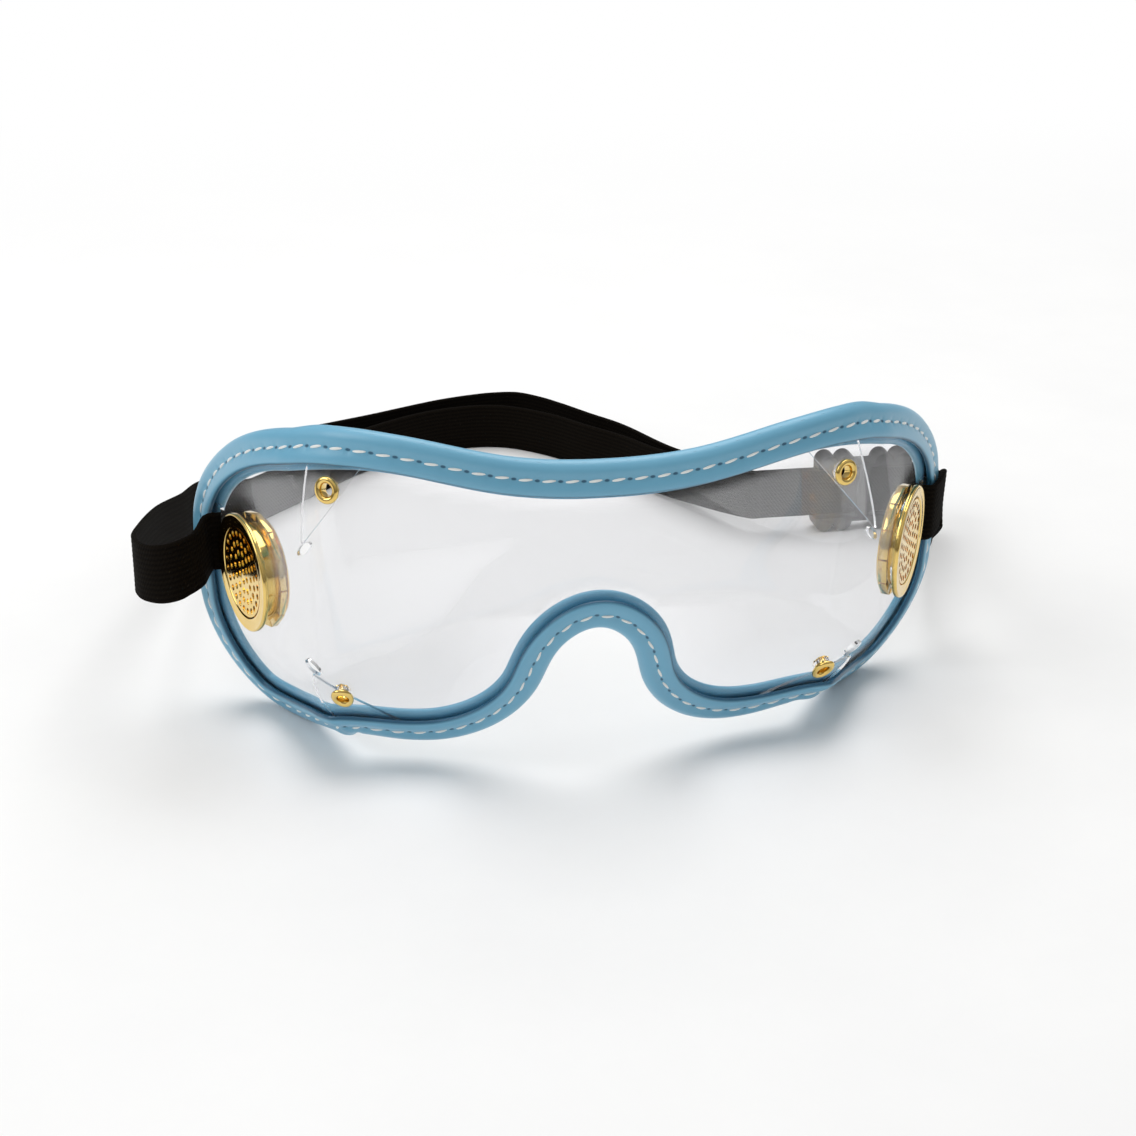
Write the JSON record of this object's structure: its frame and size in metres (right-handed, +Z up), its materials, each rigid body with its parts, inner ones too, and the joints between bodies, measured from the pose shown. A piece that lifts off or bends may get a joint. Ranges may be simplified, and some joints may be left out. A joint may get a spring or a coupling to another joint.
{
  "type": "racing goggles",
  "caption": "Clear bent vinyl goggle lens bound in light blue leather, with brass side vents, corner eyelets and an elastic head strap with a slide.",
  "frame": {"origin": "on the surface that the goggles rest on, under the middle of the goggles and their strap", "axes": "the brow faces -Y, +X is the wearer's left when worn (right in the picture), +Z up"},
  "size_m": [0.2118, 0.21, 0.0803],
  "materials": {
    "clear_vinyl": "clear, glossy",
    "blue_leather": "smooth, satin",
    "white_thread": "twisted thread",
    "brass": "polished",
    "black_elastic": "ribbed woven elastic",
    "black_plastic": "moulded, satin"
  },
  "bodies": {
    "goggles": {"lens": "clear_vinyl", "binding": "blue_leather", "seam_thread_front": "white_thread", "seam_thread_back": "white_thread", "vent_rim_left": "brass", "vent_rim_right": "brass", "vent_screen_left": "brass", "vent_screen_right": "brass", "vent_washer_left": "brass", "vent_washer_right": "brass", "eyelet_upper_left": "brass", "eyelet_upper_right": "brass", "eyelet_lower_left": "brass", "eyelet_lower_right": "brass", "strap": "black_elastic"},
    "slide": {"strap_slide": "black_plastic"}
  },
  "joints": [
    {"name": "slide_along_strap", "type": "slide", "parent": "goggles", "child": "slide", "axis": [1, 0, 0], "range_m": [-0.013, 0]}
  ]
}
